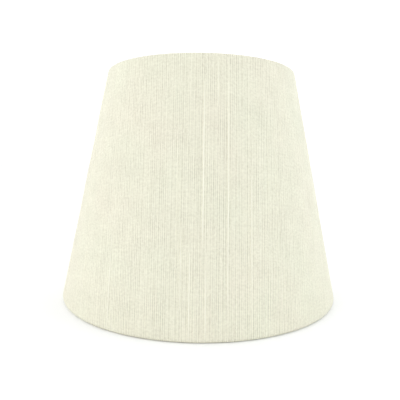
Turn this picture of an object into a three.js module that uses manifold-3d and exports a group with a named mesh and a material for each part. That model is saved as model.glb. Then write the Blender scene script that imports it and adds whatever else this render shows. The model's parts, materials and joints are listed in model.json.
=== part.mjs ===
// A small tapered table-lamp shade: slubbed cloth on a plastic backing panel, rolled over two wire
// rings, with a reversible steel gimbal hung inside the top ring and a plastic reducer in its eye.
// Millimetres, +Z up. The origin is the centre of the base rim, the gimbal turns about an axis along
// X, and the cloth is joined at the back, on +Y.
import * as THREE from "three";
import { mergeVertices } from "three/addons/utils/BufferGeometryUtils.js";
import Module from "manifold-3d";

const wasm = await Module();
wasm.setup();

// ---- Driving dimensions ----

// The shade's outside, over the rolled edges.
const BASE_DIAMETER = 200;
const TOP_DIAMETER = 135;
const HEIGHT = 160;

// What the wall is made of, from the outside in. GAP stands for the thin film of glue.
const CLOTH = 0.5;
const PANEL = 0.5;
const GAP = 0.15;
const WIRE_DIAMETER = 3;

// The cloth turned in over each ring, and the lap and tape that join the wall at the back.
const HEM_DEPTH = 10.5;
const HEM_LANDING = 5.5;
const LAP_WIDTH = 10;
const LAP_THICKNESS = 0.7;
const TAPE_WIDTH = 12;
const TAPE_THICKNESS = 0.3;
const PANEL_JOINT = 0.4;
const CLOTH_JOINT = 0.4;

// The gimbal: pressed steel strip, a dished ring and the pivots that it swings on.
const STEEL = 1.2;
const PIVOT_BELOW_RING = 9;
const FITTER_DROP = 30;
const FITTER_BORE = 42;
const FITTER_DIAMETER = 54;
const FITTER_LIP = 5;
const ARM_WIDTH = 8;
const ARM_TAB_LENGTH = 5.5;
const LUG_WIDTH = 9;

// The pivot stack along X, from the lug's outer face inwards.
const LUG_OUTER_X = 62;
const STACK_GAP = 0.2;
const WASHER_THICKNESS = 0.5;
const WASHER_RADIUS = 3.6;
const PIVOT_HOLE_RADIUS = 1.75;
const RIVET_RADIUS = 1.5;
const RIVET_HEAD_RADIUS = 3;
const RIVET_HEAD = 1.2;

// The reducer, which brings the fitter's bore down to a small lampholder's.
const REDUCER_BORE = 29;
const REDUCER_SKIRT_DIAMETER = 41.4;
const REDUCER_FLANGE_DIAMETER = 47;
const REDUCER_FLANGE = 1.6;
const REDUCER_SKIRT = 4;
const REDUCER_SLOTS = 6;
const REDUCER_SLOT_WIDTH = 2.4;

// How finely round things are faceted. The cloth, panel and rings share one count, so that nested
// facets stay parallel.
const SHELL_SEGMENTS = 72;
const WIRE_SIDES = 10;
const FITTER_SEGMENTS = 48;
const SMALL_SEGMENTS = 20;

// ---- The wall's own frame ----

// The two ring centres in the (radius, height) half plane. The rolls are faceted with one level
// facet at the very bottom and the very top, which FLAT_HALF_ANGLE is half of.
const WIRE_RADIUS = WIRE_DIAMETER / 2;
const ROLL_RADIUS = WIRE_RADIUS + GAP + CLOTH;
const FLAT_HALF_ANGLE = Math.PI / 12;
const FLAT_HEIGHT = ROLL_RADIUS * Math.cos(FLAT_HALF_ANGLE);
const baseRing = new THREE.Vector2(BASE_DIAMETER / 2 - ROLL_RADIUS, FLAT_HEIGHT);
const topRing = new THREE.Vector2(TOP_DIAMETER / 2 - ROLL_RADIUS, HEIGHT - FLAT_HEIGHT);

// Along the wall from the base ring to the top ring, and out of it.
const upWall = topRing.clone().sub(baseRing).normalize();
const outOfWall = new THREE.Vector2(upWall.y, -upWall.x);
const wallLength = topRing.distanceTo(baseRing);
const wallAngle = outOfWall.angle();

// A point of the wall: along is measured from a ring's centre into the wall, out is off the line
// that joins the ring centres.
function fromBase(along, out) {
  return baseRing.clone().addScaledVector(upWall, along).addScaledVector(outOfWall, out);
}

function fromTop(along, out) {
  return topRing.clone().addScaledVector(upWall, -along).addScaledVector(outOfWall, out);
}

// Each layer's faces, as their distance out of the line that joins the ring centres.
const clothOuter = ROLL_RADIUS;
const clothInner = clothOuter - CLOTH;
const panelOuter = clothInner - GAP;
const panelInner = panelOuter - PANEL;
const liningOuter = panelInner - GAP;

// ---- From three.js geometry to solids and back ----

function solid(geometry) {
  const bare = geometry.clone();
  bare.deleteAttribute("normal");
  bare.deleteAttribute("uv");
  const merged = mergeVertices(bare);
  return new wasm.Manifold(
    new wasm.Mesh({
      numProp: 3,
      vertProperties: merged.attributes.position.array,
      triVerts: new Uint32Array(merged.index.array),
    }),
  );
}

function geometryOf(shape) {
  const mesh = shape.getMesh();
  const geometry = new THREE.BufferGeometry();
  geometry.setAttribute("position", new THREE.BufferAttribute(mesh.vertProperties, 3));
  geometry.setIndex(new THREE.BufferAttribute(mesh.triVerts, 1));
  geometry.computeVertexNormals();
  return geometry;
}

// A ring turned about Z from a closed outline that runs up its outer side.
function turned(outline, segments) {
  const closed = [...outline, outline[0]];
  return new THREE.LatheGeometry(closed, segments).rotateX(Math.PI / 2);
}

// A four-sided ring of the wall between two distances out, and between two places along it.
function wallRing(fromAlong, toAlong, inner, outer) {
  const outline = [
    fromBase(fromAlong, outer),
    fromBase(toAlong, outer),
    fromBase(toAlong, inner),
    fromBase(fromAlong, inner),
  ];
  return solid(turned(outline, SHELL_SEGMENTS));
}

function block(low, high) {
  const size = new THREE.Vector3().subVectors(high, low);
  const centre = new THREE.Vector3().addVectors(low, high).multiplyScalar(0.5);
  return solid(new THREE.BoxGeometry(size.x, size.y, size.z).translate(centre.x, centre.y, centre.z));
}

// The back of the shade between two values of x, as a block that cuts a strip out of a ring.
function backStrip(fromX, toX) {
  return block(new THREE.Vector3(fromX, 0, -HEIGHT), new THREE.Vector3(toX, BASE_DIAMETER, 2 * HEIGHT));
}

// An outline in the XZ plane made as thick as depth, and centred on y = 0.
function plateAcrossY(outline, depth) {
  const geometry = new THREE.ExtrudeGeometry(new THREE.Shape(outline), { depth, bevelEnabled: false });
  return solid(geometry.rotateX(Math.PI / 2).translate(0, depth / 2, 0));
}

// A rod along X between two values of x, at the pivot's height.
function pivotRod(fromX, toX, radius) {
  const rod = new THREE.CylinderGeometry(radius, radius, toX - fromX, SMALL_SEGMENTS);
  return solid(rod.rotateZ(-Math.PI / 2).translate((fromX + toX) / 2, 0, pivotHeight));
}

// The outline of a bent strip of one thickness, from the line down its middle.
function bentStrip(middle, thickness) {
  const sides = [[], []];
  middle.forEach((point, i) => {
    const before = i > 0 ? point.clone().sub(middle[i - 1]).normalize() : null;
    const after = i < middle.length - 1 ? middle[i + 1].clone().sub(point).normalize() : null;
    const along = (before || after).clone().add(after || before).normalize();
    const across = new THREE.Vector2(-along.y, along.x);
    const square = new THREE.Vector2(-(after || before).y, (after || before).x);
    const reach = thickness / 2 / across.dot(square);
    sides[0].push(point.clone().addScaledVector(across, reach));
    sides[1].unshift(point.clone().addScaledVector(across, -reach));
  });
  return [...sides[0], ...sides[1]];
}

// ---- Cloth, panel and tape ----

// The angles at which one rolled edge is faceted, from the wall's outer face round the ring to where
// the hem leaves it. level is the direction, up or down, that the roll's flat facet faces.
function rollAngles(direction, level) {
  const start = wallAngle;
  const middleOfHem = (clothOuter + clothInner) / 2;
  const landing = new THREE.Vector2(HEM_LANDING, liningOuter - CLOTH / 2);
  const leaving = Math.acos(middleOfHem / landing.length()) - landing.angle();
  const end = start + direction * (1.5 * Math.PI - leaving);
  const flatFrom = level - direction * FLAT_HALF_ANGLE;
  const flatTo = level + direction * FLAT_HALF_ANGLE;
  const spread = (from, to, steps) =>
    Array.from({ length: steps }, (_, i) => from + ((to - from) * i) / steps);
  return [...spread(start, flatFrom, 3), flatFrom, ...spread(flatTo, end, 4), end];
}

function roundRing(centre, radius, angles) {
  return angles.map(
    (angle) => new THREE.Vector2(centre.x + radius * Math.cos(angle), centre.y + radius * Math.sin(angle)),
  );
}

// One sheet of cloth: down the outside, round each ring, and a short way back up the lining. It is
// open at the back, where its one end lies under the other, which is folded and laps over the joint.
function coverFabric() {
  const below = rollAngles(-1, -Math.PI / 2);
  const above = rollAngles(1, Math.PI / 2);
  const hemFace = liningOuter - CLOTH;
  const outline = [
    fromBase(HEM_DEPTH, hemFace),
    fromBase(HEM_LANDING, hemFace),
    ...roundRing(baseRing, ROLL_RADIUS, [...below].reverse()),
    ...roundRing(topRing, ROLL_RADIUS, above),
    fromTop(HEM_LANDING, hemFace),
    fromTop(HEM_DEPTH, hemFace),
    fromTop(HEM_DEPTH, liningOuter),
    fromTop(HEM_LANDING, liningOuter),
    ...roundRing(topRing, ROLL_RADIUS - CLOTH, [...above].reverse()),
    ...roundRing(baseRing, ROLL_RADIUS - CLOTH, below),
    fromBase(HEM_LANDING, liningOuter),
    fromBase(HEM_DEPTH, liningOuter),
  ];
  const sheet = solid(turned(outline, SHELL_SEGMENTS));

  // The lap stops short of both rolls, where the cloth is too thick to double.
  const lapEnd = WIRE_RADIUS;
  const lapOuter = clothOuter + GAP + LAP_THICKNESS;
  const lap = wallRing(lapEnd, wallLength - lapEnd, clothOuter + GAP, lapOuter);
  const root = wallRing(lapEnd, wallLength - lapEnd, clothInner + GAP, lapOuter);
  const past = WIRE_DIAMETER;
  const slit = wallRing(-past, wallLength + past, -past, clothOuter + GAP);
  const joined = sheet
    .add(lap.intersect(backStrip(-LAP_WIDTH, LAP_THICKNESS)))
    .add(root.intersect(backStrip(0, LAP_THICKNESS)))
    .subtract(slit.intersect(backStrip(-CLOTH_JOINT, 0)));

  // The hem is notched where each pivot lug comes through it.
  const notchHalf = LUG_WIDTH / 2 + WIRE_RADIUS / 2;
  return [1, -1].reduce((cloth, side) => {
    const edge = [
      fromTop(HEM_DEPTH + CLOTH, panelInner - GAP / 2),
      fromTop(HEM_LANDING, panelInner - GAP / 2),
      new THREE.Vector2(topRing.x - WIRE_RADIUS / 2, topRing.y - STEEL),
      new THREE.Vector2(topRing.x - WIRE_RADIUS / 2, topRing.y + STEEL),
      new THREE.Vector2(LUG_OUTER_X - STEEL, topRing.y + STEEL),
      new THREE.Vector2(LUG_OUTER_X - STEEL, fromTop(HEM_DEPTH + CLOTH, 0).y),
    ];
    const notch = geometryOf(plateAcrossY(edge, 2 * notchHalf));
    return cloth.subtract(solid(side > 0 ? notch : notch.rotateZ(Math.PI)));
  }, joined);
}

// A sheet of stiff plastic rolled into a cone. Its ends butt at the back, with a hair's breadth left.
function backingPanel() {
  const ringClear = WIRE_RADIUS;
  const sheet = wallRing(ringClear, wallLength - ringClear, panelInner, panelOuter);
  return sheet.subtract(backStrip(-PANEL_JOINT / 2, PANEL_JOINT / 2));
}

// A strip of tape down the inside of the panel's joint, between the two hems.
function seamTape() {
  const end = HEM_DEPTH + WIRE_RADIUS;
  const ring = wallRing(end, wallLength - end, liningOuter - TAPE_THICKNESS, liningOuter);
  return ring.intersect(backStrip(-TAPE_WIDTH / 2, TAPE_WIDTH / 2));
}

// ---- Rings ----

function wireRing(centre) {
  const ring = new THREE.TorusGeometry(centre.x, WIRE_RADIUS, WIRE_SIDES, SHELL_SEGMENTS);
  return solid(ring.translate(0, 0, centre.y));
}

// ---- Gimbal ----

// Heights of the pivot and of the fitter ring's underside, and the stack along X.
const pivotHeight = topRing.y - PIVOT_BELOW_RING;
const fitterBase = pivotHeight - FITTER_DROP;
const lugInner = LUG_OUTER_X - STEEL;
const washerOuter = lugInner - STACK_GAP;
const washerInner = washerOuter - WASHER_THICKNESS;
const armOuter = washerInner - STACK_GAP;
const armInner = armOuter - STEEL;

// A short steel angle: its foot is welded to the top ring and its leg carries the rivet.
function pivotLug() {
  const reach = topRing.x - WIRE_RADIUS - 2 * STACK_GAP;
  const outline = bentStrip(
    [
      new THREE.Vector2(reach, topRing.y),
      new THREE.Vector2(LUG_OUTER_X - STEEL / 2, topRing.y),
      new THREE.Vector2(LUG_OUTER_X - STEEL / 2, pivotHeight - LUG_WIDTH / 2),
    ],
    STEEL,
  );
  const cornerless = pivotRod(lugInner - STEEL, LUG_OUTER_X + STEEL, LUG_WIDTH / 2).add(
    block(
      new THREE.Vector3(lugInner - STEEL, -LUG_WIDTH / 2, pivotHeight),
      new THREE.Vector3(topRing.x, LUG_WIDTH / 2, HEIGHT),
    ),
  );
  return plateAcrossY(outline, LUG_WIDTH)
    .intersect(cornerless)
    .subtract(pivotRod(lugInner - STEEL, LUG_OUTER_X + STEEL, PIVOT_HOLE_RADIUS));
}

// A domed rivet with a head at each end of the stack.
function pivotRivet() {
  const headSteps = 3;
  const dome = (from, direction) =>
    Array.from({ length: headSteps }, (_, i) => {
      const turn = ((i + 1) / headSteps) * (Math.PI / 2);
      return new THREE.Vector2(
        RIVET_HEAD_RADIUS * Math.cos(turn),
        from + direction * RIVET_HEAD * Math.sin(turn),
      );
    });
  const innerFace = armInner - STACK_GAP;
  const outerFace = LUG_OUTER_X + STACK_GAP;
  const profile = [
    ...dome(innerFace, -1).reverse(),
    new THREE.Vector2(RIVET_HEAD_RADIUS, innerFace),
    new THREE.Vector2(RIVET_RADIUS, innerFace),
    new THREE.Vector2(RIVET_RADIUS, outerFace),
    new THREE.Vector2(RIVET_HEAD_RADIUS, outerFace),
    ...dome(outerFace, 1),
  ];
  profile[0].x = 0;
  profile[profile.length - 1].x = 0;
  const rivet = new THREE.LatheGeometry(profile, SMALL_SEGMENTS);
  return solid(rivet.rotateZ(-Math.PI / 2).translate(0, 0, pivotHeight));
}

// A nylon washer, which gives the pivot its drag.
function frictionWasher() {
  return pivotRod(washerInner, washerOuter, WASHER_RADIUS).subtract(
    pivotRod(washerInner - STEEL, washerOuter + STEEL, PIVOT_HOLE_RADIUS),
  );
}

// One strip from its pivot in to the fitter ring, against whose lip its end is welded.
function gimbalArm() {
  const tabX = (armOuter + armInner) / 2;
  const footX = FITTER_DIAMETER / 2 + 2 * STACK_GAP + STEEL / 2;
  const outline = bentStrip(
    [
      new THREE.Vector2(tabX, pivotHeight + ARM_WIDTH / 2),
      new THREE.Vector2(tabX, pivotHeight - ARM_TAB_LENGTH),
      new THREE.Vector2(footX, fitterBase + FITTER_LIP),
      new THREE.Vector2(footX, fitterBase + STACK_GAP),
    ],
    STEEL,
  );
  const roundEnd = pivotRod(armInner - STEEL, armOuter + STEEL, ARM_WIDTH / 2);
  const below = block(
    new THREE.Vector3(0, -ARM_WIDTH / 2, fitterBase),
    new THREE.Vector3(armOuter + STEEL, ARM_WIDTH / 2, pivotHeight),
  );
  return plateAcrossY(outline, ARM_WIDTH)
    .intersect(roundEnd.add(below))
    .subtract(pivotRod(armInner - STEEL, armOuter + STEEL, PIVOT_HOLE_RADIUS));
}

// A dished steel ring: a flat seat and an upturned lip.
function fitterRing() {
  const bore = FITTER_BORE / 2;
  const outer = FITTER_DIAMETER / 2;
  const outline = [
    new THREE.Vector2(bore, fitterBase),
    new THREE.Vector2(outer, fitterBase),
    new THREE.Vector2(outer, fitterBase + FITTER_LIP),
    new THREE.Vector2(outer - STEEL, fitterBase + FITTER_LIP),
    new THREE.Vector2(outer - STEEL, fitterBase + STEEL),
    new THREE.Vector2(bore, fitterBase + STEEL),
  ];
  return solid(turned(outline, FITTER_SEGMENTS));
}

// ---- Reducer ----

// A plastic ring whose flange sits in the fitter's dish. Its skirt hangs through the bore, and is
// slotted so that it springs in.
function reducerRing() {
  const seat = fitterBase + STEEL + STACK_GAP;
  const foot = seat - REDUCER_SKIRT;
  const bore = REDUCER_BORE / 2;
  const skirt = REDUCER_SKIRT_DIAMETER / 2;
  const flange = REDUCER_FLANGE_DIAMETER / 2;
  const outline = [
    new THREE.Vector2(bore, foot),
    new THREE.Vector2(skirt, foot),
    new THREE.Vector2(skirt, seat),
    new THREE.Vector2(flange, seat),
    new THREE.Vector2(flange, seat + REDUCER_FLANGE),
    new THREE.Vector2(bore, seat + REDUCER_FLANGE),
  ];
  const slotDepth = 2 * STEEL;
  const slot = new THREE.BoxGeometry(REDUCER_SLOT_WIDTH, slotDepth, REDUCER_SKIRT).translate(
    0,
    skirt,
    seat - STACK_GAP - REDUCER_SKIRT / 2,
  );
  return Array.from({ length: REDUCER_SLOTS }).reduce((ring, _, i) => {
    const turn = (2 * Math.PI * i) / REDUCER_SLOTS;
    return ring.subtract(solid(slot.clone().rotateZ(turn)));
  }, solid(turned(outline, FITTER_SEGMENTS)));
}

// ---- The assembly ----

const slubCloth = new THREE.MeshStandardMaterial({ color: 0xf0eedc, roughness: 0.9, metalness: 0 });
const whitePlastic = new THREE.MeshStandardMaterial({ color: 0xf6f5ef, roughness: 0.5, metalness: 0 });
const clearTape = new THREE.MeshStandardMaterial({ color: 0xf2efe2, roughness: 0.35, metalness: 0 });
const galvanised = new THREE.MeshStandardMaterial({ color: 0xb9bcbd, roughness: 0.45, metalness: 0.9 });
const whiteEnamel = new THREE.MeshStandardMaterial({ color: 0xf4f3ee, roughness: 0.4, metalness: 0 });
const platedSteel = new THREE.MeshStandardMaterial({ color: 0xc9cacb, roughness: 0.3, metalness: 1 });
const nylon = new THREE.MeshStandardMaterial({ color: 0xeceadf, roughness: 0.55, metalness: 0 });
const reducerPlastic = new THREE.MeshStandardMaterial({ color: 0xf7f6f2, roughness: 0.35, metalness: 0 });

const shade = new THREE.Group();

function place(name, shape, material, halfTurn = false) {
  const mesh = new THREE.Mesh(geometryOf(shape), material);
  mesh.name = name;
  mesh.rotation.z = halfTurn ? Math.PI : 0;
  shade.add(mesh);
}

place("cover_fabric", coverFabric(), slubCloth);
place("backing_panel", backingPanel(), whitePlastic);
place("seam_tape", seamTape(), clearTape);
place("top_ring", wireRing(topRing), galvanised);
place("bottom_ring", wireRing(baseRing), galvanised);
for (const [side, halfTurn] of [["right", false], ["left", true]]) {
  place(`pivot_lug_${side}`, pivotLug(), whiteEnamel, halfTurn);
  place(`pivot_rivet_${side}`, pivotRivet(), platedSteel, halfTurn);
  place(`friction_washer_${side}`, frictionWasher(), nylon, halfTurn);
  place(`gimbal_arm_${side}`, gimbalArm(), whiteEnamel, halfTurn);
}
place("fitter_ring", fitterRing(), whiteEnamel);
place("reducer_ring", reducerRing(), reducerPlastic);

export default shade;
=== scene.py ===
import json
import math
import random

import bmesh
import bpy
import numpy as np
from mathutils import Matrix, Vector


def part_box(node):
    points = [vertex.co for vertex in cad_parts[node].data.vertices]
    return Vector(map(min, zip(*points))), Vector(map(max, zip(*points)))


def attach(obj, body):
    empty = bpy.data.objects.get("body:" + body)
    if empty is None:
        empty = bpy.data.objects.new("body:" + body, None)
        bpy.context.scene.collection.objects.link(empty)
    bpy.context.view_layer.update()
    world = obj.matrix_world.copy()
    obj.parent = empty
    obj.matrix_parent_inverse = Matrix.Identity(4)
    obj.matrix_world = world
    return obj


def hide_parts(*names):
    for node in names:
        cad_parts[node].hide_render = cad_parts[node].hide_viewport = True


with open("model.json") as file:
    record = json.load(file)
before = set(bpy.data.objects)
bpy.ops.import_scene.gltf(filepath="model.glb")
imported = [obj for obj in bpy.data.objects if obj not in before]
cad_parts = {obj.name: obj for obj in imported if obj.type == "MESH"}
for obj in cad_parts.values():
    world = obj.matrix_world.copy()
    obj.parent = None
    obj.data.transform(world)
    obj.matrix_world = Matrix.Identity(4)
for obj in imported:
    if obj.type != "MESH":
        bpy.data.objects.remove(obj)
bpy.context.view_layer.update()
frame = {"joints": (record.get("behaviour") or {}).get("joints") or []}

# ---- The room ----
# A plain white table under a white sky, with a large soft lamp in front to the left and another
# almost square to the right. The camera stands close, just above the shade's middle, and looks a
# little down.

MM = 0.001
LENS = 36.4
CAMERA_PLACE = (0.27 * MM, -307.5 * MM, 97.6 * MM)
LOOK_DOWN = 0.097
CAMERA_TILT = 0.0143

camera = bpy.data.objects.new("camera", bpy.data.cameras.new("camera"))
camera.data.sensor_width = 36
camera.data.lens = LENS
camera.data.clip_start = 0.01
camera.matrix_world = (
    Matrix.Translation(CAMERA_PLACE)
    @ Matrix.Rotation(math.pi / 2 - LOOK_DOWN, 4, "X")
    @ Matrix.Rotation(CAMERA_TILT, 4, "Z")
)
bpy.context.scene.collection.objects.link(camera)
bpy.context.scene.camera = camera
bpy.context.scene.view_settings.view_transform = "Standard"


def linear(colour):
    """A colour given as sRGB hex, such as "f1f0dd", as linear red, green, blue and alpha."""
    parts = [int(colour[i : i + 2], 16) / 255 for i in (0, 2, 4)]
    return (*[p / 12.92 if p <= 0.04045 else ((p + 0.055) / 1.055) ** 2.4 for p in parts], 1)


def add(tree, kind, *inputs, **settings):
    """Adds a node with these settings. Its inputs come in order, or in a dict by name or number. Each is
    a value, or a socket or a node's first output to link from."""
    made = tree.nodes.new(kind)
    for name, value in settings.items():
        setattr(made, name, value)
    for place, value in enumerate(inputs):
        for socket, source in (value if isinstance(value, dict) else {place: value}).items():
            if isinstance(source, bpy.types.Node):
                source = source.outputs[0]
            if isinstance(source, bpy.types.NodeSocket):
                tree.links.new(source, made.inputs[socket])
            else:
                made.inputs[socket].default_value = source
    return made


def new_finish(name):
    """A new material, and its tree with nothing in it."""
    material = bpy.data.materials.new(name)
    material.use_nodes = True
    material.node_tree.nodes.clear()
    return material, material.node_tree


world = bpy.data.worlds.new("white_sky")
bpy.context.scene.world = world
world.use_nodes = True
sky = world.node_tree.nodes["Background"]
sky.inputs["Color"].default_value = linear("ffffff")
# The sky dims a little towards the room behind the camera's right shoulder.
tree = world.node_tree
direction = add(tree, "ShaderNodeTexCoord").outputs["Generated"]
dim_side = Vector((0.22, -1, 0.1)).normalized()
facing = add(tree, "ShaderNodeVectorMath", direction, dim_side, operation="DOT_PRODUCT")
dimming = add(
    tree,
    "ShaderNodeMapRange",
    {"Value": facing.outputs["Value"], "From Min": 0.2, "From Max": 1.0, "To Min": 1.15, "To Max": 0.52},
    interpolation_type="SMOOTHSTEP",
)
tree.links.new(dimming.outputs["Result"], sky.inputs["Strength"])

for name, place, size, power, tint in (
    ("soft_lamp_left", (-1.5, -1.1, 0.85), 1.2, 5.3, "fffaf8"),
    ("soft_lamp_right", (1.75, -0.5, 0.85), 1.2, 6.3, "f6fcff"),
):
    lamp = bpy.data.objects.new(name, bpy.data.lights.new(name, "AREA"))
    lamp.data.shape = "DISK"
    lamp.data.size = size
    lamp.data.energy = power
    lamp.data.color = linear(tint)[:3]
    lamp.location = place
    lamp.rotation_euler = (Vector((0, 0, 0.08)) - Vector(place)).to_track_quat("-Z", "Y").to_euler()
    bpy.context.scene.collection.objects.link(lamp)

# White laminate: matt, and just uneven enough in its gloss not to look like paper. Noise scales are in
# grains to the metre, so that 900 gives grains of 1.1 mm.
table_top, tree = new_finish("white_laminate_table")
place = add(tree, "ShaderNodeTexCoord").outputs["Object"]
speckle = add(tree, "ShaderNodeTexNoise", {"Vector": place, "Scale": 900.0})
gloss = add(tree, "ShaderNodeMapRange", {"Value": speckle, "To Min": 0.7, "To Max": 0.85})
surface = add(
    tree,
    "ShaderNodeBsdfPrincipled",
    {"Base Color": linear("fcfdff"), "Roughness": gloss, "Specular IOR Level": 0.2},
)
add(tree, "ShaderNodeOutputMaterial", surface)

floor_mesh = bpy.data.meshes.new("table_top")
floor_mesh.from_pydata([(-6, -6, 0), (6, -6, 0), (6, 6, 0), (-6, 6, 0)], [], [(0, 1, 2, 3)])
floor_mesh.materials.append(table_top)
floor = bpy.data.objects.new("table_top", floor_mesh)
bpy.context.scene.collection.objects.link(floor)

# ---- The cover ----
# One sheet of slubbed faux silk, cut as a segment of a ring with its straight grain up the middle of
# the front. It is laminated to the backing, turned in over both wires and glued down inside, and its
# far end is folded under and lapped over its near end up the back.

CLOTH = 0.35 * MM
CLOTH_FACE = 2.15 * MM
ROLL = CLOTH_FACE - CLOTH / 2
BASE_RING = Vector((97.85 * MM, 2.15 * MM))
TOP_RING = Vector((65.35 * MM, 157.85 * MM))
UP_WALL = (TOP_RING - BASE_RING).normalized()
OUT_OF_WALL = Vector((UP_WALL.y, -UP_WALL.x))
WALL_ANGLE = math.atan2(OUT_OF_WALL.y, OUT_OF_WALL.x)
WALL = (TOP_RING - BASE_RING).length
# The flat cut's two radii, and its half angle once it has gone all the way round.
CUT_BASE = (BASE_RING.x + ROLL * OUT_OF_WALL.x) / -UP_WALL.x
CUT_TOP = CUT_BASE - WALL
CUT_HALF_ANGLE = math.pi * -UP_WALL.x
LINING_FACE = 1.0 * MM
HEM_LANDING = 5.5 * MM
HEM_DEPTH = 10.5 * MM
LAP = 10 * MM
LAP_RAMP = 3 * MM
LAP_FOLD = 7 * MM
SNIP = 10.6 * MM
SNIP_TURN = math.radians(115)
ROUND_STEPS = 480
WALL_STEPS = 26
GATHER = 0.03 * MM
PUCKER = 0.16 * MM
SAG = 0.05 * MM


def ring_point(radius, height, azimuth):
    """A point on a circle about the shade's axis. Azimuth 0 is the front, and it grows to the right."""
    return (radius * math.sin(azimuth), -radius * math.cos(azimuth), height)


def section_point(along, out):
    """(radius, height) at a distance up the wall from the base ring and a distance out of the cloth's
    middle. Past either ring it goes round the wire."""
    on_wall = min(max(along, 0), WALL)
    turn = WALL_ANGLE + (along - on_wall) / ROLL
    centre = BASE_RING + UP_WALL * on_wall
    return centre + Vector((math.cos(turn), math.sin(turn))) * (ROLL + out)


def hem_path():
    """The cloth's way from the wall round a ring and on to the lining: stations of ("roll", flat length
    past the ring), then of ("hem", that length, (place along the wall, place out of it))."""
    rest = LINING_FACE - CLOTH / 2 - 0.03 * MM
    landing = Vector((HEM_LANDING, rest))
    leaving = math.acos(ROLL / landing.length) - math.atan2(landing.y, landing.x)
    turned = 1.5 * math.pi - leaving
    stations = [("roll", ROLL * turned * i / 15) for i in range(1, 16)]
    leave = Vector((ROLL * math.cos(leaving), -ROLL * math.sin(leaving)))
    used = ROLL * turned
    for i in range(1, 4):
        stations.append(("hem", used + (landing - leave).length * i / 3, leave.lerp(landing, i / 3)))
    used += (landing - leave).length
    for i in range(1, 5):
        step = (HEM_DEPTH - HEM_LANDING) * i / 4
        stations.append(("hem", used + step, landing + Vector((step, 0))))
    return stations


def wander(azimuth, seed, waves=((3, 0.5), (7, 0.3), (16, 0.2))):
    """A smooth wavering round the shade, from about -1 to 1."""
    return sum(size * math.sin(count * azimuth + seed * (1.7 + 0.6 * count)) for count, size in waves)


def pucker(azimuth, seed):
    """The small gathers of a turned hem, about 12 mm apart."""
    return wander(azimuth, seed, ((41, 0.45), (53, 0.35), (78, 0.2)))


# The columns round the shade: (azimuth, extra distance round in metres, how far it is lapped out).
under_layer = CLOTH + 0.02 * MM
columns = [(-math.pi + 2 * math.pi * i / ROUND_STEPS, 0.0, 0.0) for i in range(ROUND_STEPS)]
columns = [c for c in columns if c[0] < math.pi - (LAP_RAMP + 1 * MM) / TOP_RING.x]
for i in range(7):
    climb = (3 - 2 * i / 6) * (i / 6) ** 2
    columns.append((math.pi, -LAP_RAMP * (1 - i / 6), 2 * under_layer * climb))
columns += [(math.pi, LAP * i / 6, 2 * under_layer) for i in range(1, 6)]
columns += [
    (math.pi, LAP - 0.2 * MM, 2 * under_layer),
    (math.pi, LAP, 1.5 * under_layer),
    (math.pi, LAP - 0.2 * MM, under_layer),
]
columns += [(math.pi, LAP - LAP_FOLD * i / 3, under_layer) for i in range(1, 4)]

hem = hem_path()
vertices, flat = [], []
for azimuth, extra, lapped in columns:
    column = []
    for end in (-1, 1):
        rows = []
        for station in hem:
            if station[0] == "roll":
                along = -station[1] if end < 0 else WALL + station[1]
                gather = GATHER * wander(azimuth, 2 + end, ((31, 0.5), (47, 0.5)))
                radius, height = section_point(along, 0.35 * lapped + gather)
            else:
                place_in = station[2]
                depth = max(0, station[1] - ROLL * math.pi) / HEM_DEPTH
                ease = depth * PUCKER * (1 + pucker(azimuth, 5 + end))
                ragged = max(0, place_in.x - HEM_LANDING) * 0.07 * wander(azimuth, 9 + end)
                ring = BASE_RING if end < 0 else TOP_RING
                into = -UP_WALL * end
                at = ring + into * (place_in.x + ragged) + OUT_OF_WALL * (place_in.y - ease - 0.8 * lapped)
                radius, height = at
                along = -station[1] if end < 0 else WALL + station[1]
            rows.append((radius, height, along))
        column.append(rows)
    wall = []
    for i in range(WALL_STEPS + 1):
        along = WALL * i / WALL_STEPS
        near_ring = min(along, WALL - along) / (6 * MM)
        lift = lapped * (0.35 + 0.65 * min(1, near_ring))
        sag = SAG * wander(azimuth + along * 2, 1) * math.sin(math.pi * i / WALL_STEPS)
        radius, height = section_point(along, lift + sag)
        wall.append((radius, height, along))
    for radius, height, along in [*reversed(column[0]), *wall, *column[1]]:
        past = extra / max(radius, 1 * MM)
        vertices.append(ring_point(radius, height, azimuth + past))
        cut = CUT_BASE - along
        slant = (azimuth + past) * -UP_WALL.x
        flat.append((cut * math.sin(slant) / MM, (CUT_BASE - cut * math.cos(slant)) / MM))

rows = len(hem) * 2 + WALL_STEPS + 1
# The top hem is snipped away over each pivot lug, from the crown of the roll to its raw edge.
first_snipped = rows - len(hem) + sum(s[0] == "roll" and s[1] < ROLL * SNIP_TURN for s in hem)
faces = []
for i in range(len(columns) - 1):
    for j in range(rows - 1):
        a, b = i * rows + j, (i + 1) * rows + j
        if j >= first_snipped and max(abs(vertices[a][1]), abs(vertices[b][1])) < SNIP / 2:
            continue
        faces.append((a, b, b + 1, a + 1))


def piece(name, points, polygons, material):
    """A mesh object at the origin, with its place in its mesh."""
    mesh = bpy.data.meshes.new(name)
    mesh.from_pydata([tuple(p) for p in points], [], polygons)
    mesh.materials.append(material)
    mesh.validate()
    mesh.polygons.foreach_set("use_smooth", [True] * len(mesh.polygons))
    made = bpy.data.objects.new(name, mesh)
    bpy.context.scene.collection.objects.link(made)
    return made


def bake_modifiers(made):
    """Turns a piece with modifiers into a plain mesh."""
    bpy.context.view_layer.update()
    graph = bpy.context.evaluated_depsgraph_get()
    made_mesh = bpy.data.meshes.new_from_object(made.evaluated_get(graph))
    made.modifiers.clear()
    made.data = made_mesh
    return made


# Faux silk: smooth bright filament warp across an uneven spun yarn that runs up the shade. The yarn
# gives fine upright lines of changing strength, the warp a faint rib across them. Real threads lie
# 0.35 mm apart. They are drawn over three times as coarse, which is the finest that shows.
# These and the sizes of the streaks are in mm, as the cut's UV map is.
LINE_SPACING = 1.17
PAIR_SPACING = 1.8

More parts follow.
